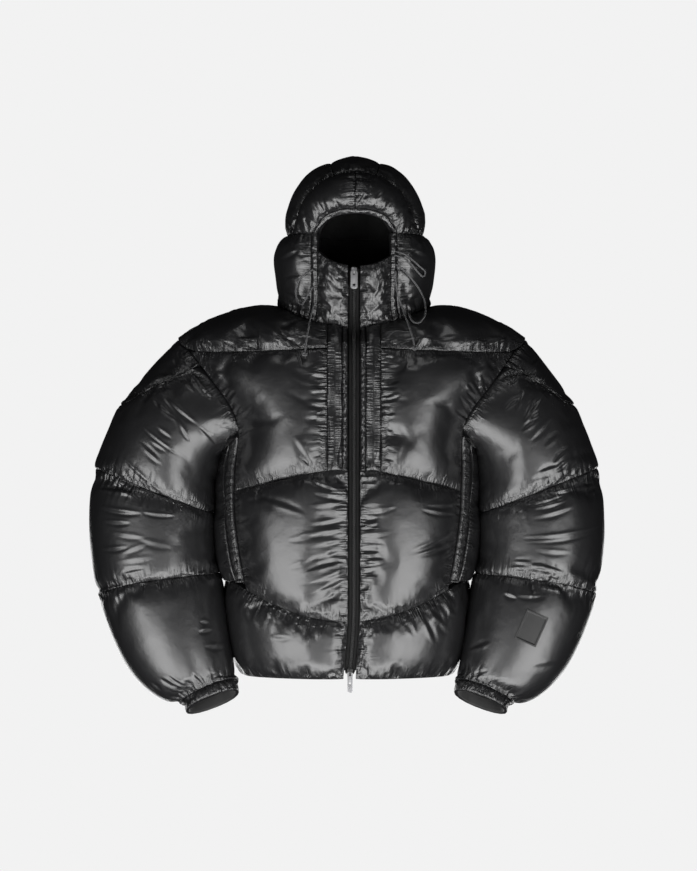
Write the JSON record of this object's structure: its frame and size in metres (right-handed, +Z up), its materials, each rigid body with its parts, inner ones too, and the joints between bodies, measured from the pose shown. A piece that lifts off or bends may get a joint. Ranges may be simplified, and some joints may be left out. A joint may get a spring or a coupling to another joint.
{
  "type": "hooded puffer jacket",
  "caption": "Glossy black hooded puffer jacket, filled out and empty, closed with a two-way zip, with gathered cuffs, a face-framing hood and hood drawcords.",
  "frame": {"origin": "middle of the neck, level with the foot of the collar at the front, where the jacket is held", "axes": "+X towards the wearer's left, +Y towards the back, +Z up"},
  "size_m": [0.8981, 0.3197, 0.9724],
  "materials": {
    "shell": "glossy coated nylon",
    "zip_tape": "woven tape",
    "zip_chain": "moulded teeth",
    "metal": "satin nickel",
    "cord": "braided cord",
    "label": "soft matte"
  },
  "bodies": {
    "jacket": {"yoke_front_left": "shell", "yoke_front_right": "shell", "chest_left": "shell", "chest_right": "shell", "belly_left": "shell", "belly_right": "shell", "side_panel_left": "shell", "side_panel_right": "shell", "hem_front_left": "shell", "hem_front_right": "shell", "pocket_welt_left": "shell", "pocket_welt_right": "shell", "zip_edging_left": "shell", "zip_edging_right": "shell", "chest_band_left": "shell", "chest_band_right": "shell", "chin_left": "shell", "chin_right": "shell", "hood_channel_left": "shell", "hood_channel_right": "shell", "cheek_left": "shell", "cheek_right": "shell", "brim_left": "shell", "brim_right": "shell", "crown_left": "shell", "crown_right": "shell", "sleeve_cap_left": "shell", "sleeve_cap_right": "shell", "sleeve_upper_left": "shell", "sleeve_upper_right": "shell", "sleeve_middle_left": "shell", "sleeve_middle_right": "shell", "sleeve_lower_left": "shell", "sleeve_lower_right": "shell", "cuff_left": "shell", "cuff_right": "shell", "yoke_back": "shell", "back_upper": "shell", "back_lower": "shell", "hem_back": "shell", "collar_back": "shell", "hood_rim": "shell", "crown_middle": "shell", "zip_tape_left": "zip_tape", "zip_tape_right": "zip_tape", "zip_chain": "zip_chain", "upper_slider": "metal", "lower_slider": "metal", "drawcord_left": "cord", "drawcord_right": "cord", "cord_loop_left": "cord", "cord_loop_right": "cord", "small_loop_left": "cord", "sleeve_label": "label"},
    "upper_pull": {"upper_pull_tab": "metal"},
    "lower_pull": {"lower_pull_tab": "metal"}
  },
  "joints": [
    {"name": "upper_pull_hinge", "type": "hinge", "parent": "jacket", "child": "upper_pull", "pos_m": [0.00002, -0.10743, 0.08494], "axis": [-1, 0, 0], "range_deg": [0, 150]},
    {"name": "lower_pull_hinge", "type": "hinge", "parent": "jacket", "child": "lower_pull", "pos_m": [-0.00705, -0.12829, -0.60464], "axis": [-1, 0, 0], "range_deg": [0, 150]}
  ]
}
